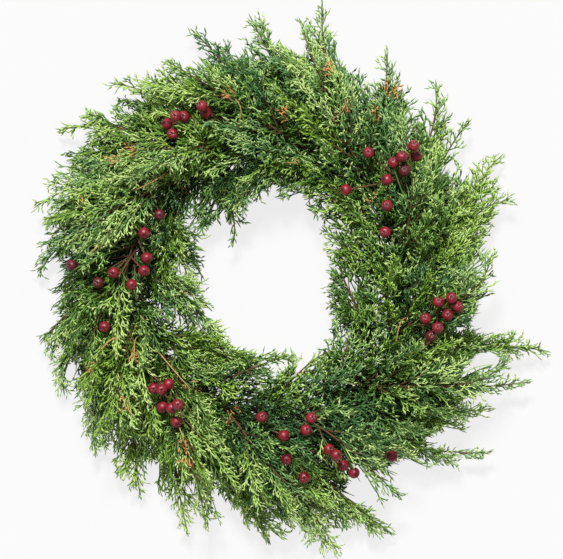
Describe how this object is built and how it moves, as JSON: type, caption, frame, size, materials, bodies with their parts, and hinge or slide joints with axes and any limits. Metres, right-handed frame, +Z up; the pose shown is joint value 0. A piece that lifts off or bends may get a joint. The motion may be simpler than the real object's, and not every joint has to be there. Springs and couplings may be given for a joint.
{
  "type": "evergreen wreath",
  "caption": "Round door wreath of overlapping juniper-like evergreen sprays bound to a wire ring, with sprigs of small round red berries; open in the middle, lies flat.",
  "frame": {"origin": "centre of the wreath's box seen from above, on the surface it lies on", "axes": "+Z up, out of the wreath's face; +Y to the wreath's top, its longest way; +X to its right as seen from the front"},
  "size_m": [0.5676, 0.6088, 0.1067],
  "materials": {
    "frame_wire": "dark green painted steel wire, satin",
    "binding_wire": "green florist's wire, satin",
    "foliage": "fresh evergreen scale leaves, mid green with yellow-green tips, on orange-brown twigs; matte with a slight waxy sheen",
    "berries": "fresh crimson berries with a dark calyx dimple, smooth and glossy, on red-brown stalks"
  },
  "bodies": {
    "root": {"wire_frame": "frame_wire", "binding_wire": "binding_wire", "spray_outer_01": "foliage", "spray_outer_02": "foliage", "spray_outer_03": "foliage", "spray_outer_04": "foliage", "spray_outer_05": "foliage", "spray_outer_06": "foliage", "spray_outer_07": "foliage", "spray_outer_08": "foliage", "spray_outer_09": "foliage", "spray_outer_10": "foliage", "spray_outer_11": "foliage", "spray_outer_12": "foliage", "spray_outer_13": "foliage", "spray_outer_14": "foliage", "spray_outer_15": "foliage", "spray_outer_16": "foliage", "spray_outer_17": "foliage", "spray_outer_18": "foliage", "spray_outer_19": "foliage", "spray_outer_20": "foliage", "spray_outer_21": "foliage", "spray_outer_22": "foliage", "spray_outer_23": "foliage", "spray_outer_24": "foliage", "spray_top_01": "foliage", "spray_top_02": "foliage", "spray_top_03": "foliage", "spray_top_04": "foliage", "spray_top_05": "foliage", "spray_top_06": "foliage", "spray_top_07": "foliage", "spray_top_08": "foliage", "spray_top_09": "foliage", "spray_top_10": "foliage", "spray_top_11": "foliage", "spray_top_12": "foliage", "spray_inner_01": "foliage", "spray_inner_02": "foliage", "spray_inner_03": "foliage", "spray_inner_04": "foliage", "spray_inner_05": "foliage", "spray_inner_06": "foliage", "spray_inner_07": "foliage", "spray_inner_08": "foliage", "spray_inner_09": "foliage", "spray_inner_10": "foliage", "spray_inner_11": "foliage", "spray_inner_12": "foliage", "berry_sprig_1": "berries", "berry_sprig_2": "berries", "berry_sprig_3": "berries", "berry_sprig_4": "berries", "berry_sprig_5": "berries", "berry_sprig_6": "berries"}
  },
  "joints": []
}
